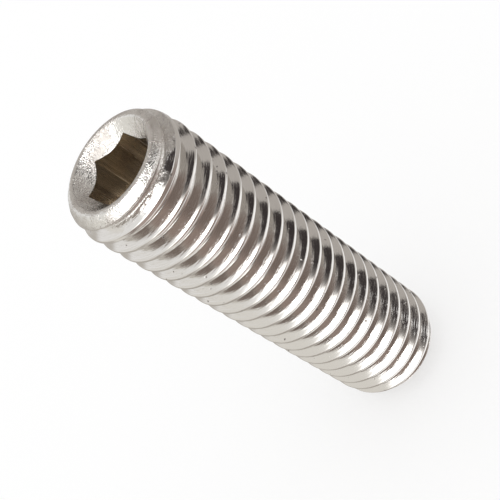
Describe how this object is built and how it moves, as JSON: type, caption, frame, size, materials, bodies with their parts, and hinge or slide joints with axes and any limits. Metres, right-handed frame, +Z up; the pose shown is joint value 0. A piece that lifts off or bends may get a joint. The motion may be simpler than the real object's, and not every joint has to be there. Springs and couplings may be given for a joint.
{
  "type": "set screw",
  "caption": "Headless hexagon socket set screw with a full-length coarse right-hand thread and a hollow cup point.",
  "frame": {"origin": "middle of the rim of the cup point, on which the screw stands", "axes": "+Z up the screw's axis towards the socket end; +X through one corner of the hexagon socket"},
  "size_m": [0.0126, 0.0126, 0.0445],
  "materials": {
    "steel": "bright rolled stainless steel, with a lightly mottled, tumbled socket end and a darker broached socket"
  },
  "bodies": {
    "root": {"set_screw": "steel"}
  },
  "joints": []
}
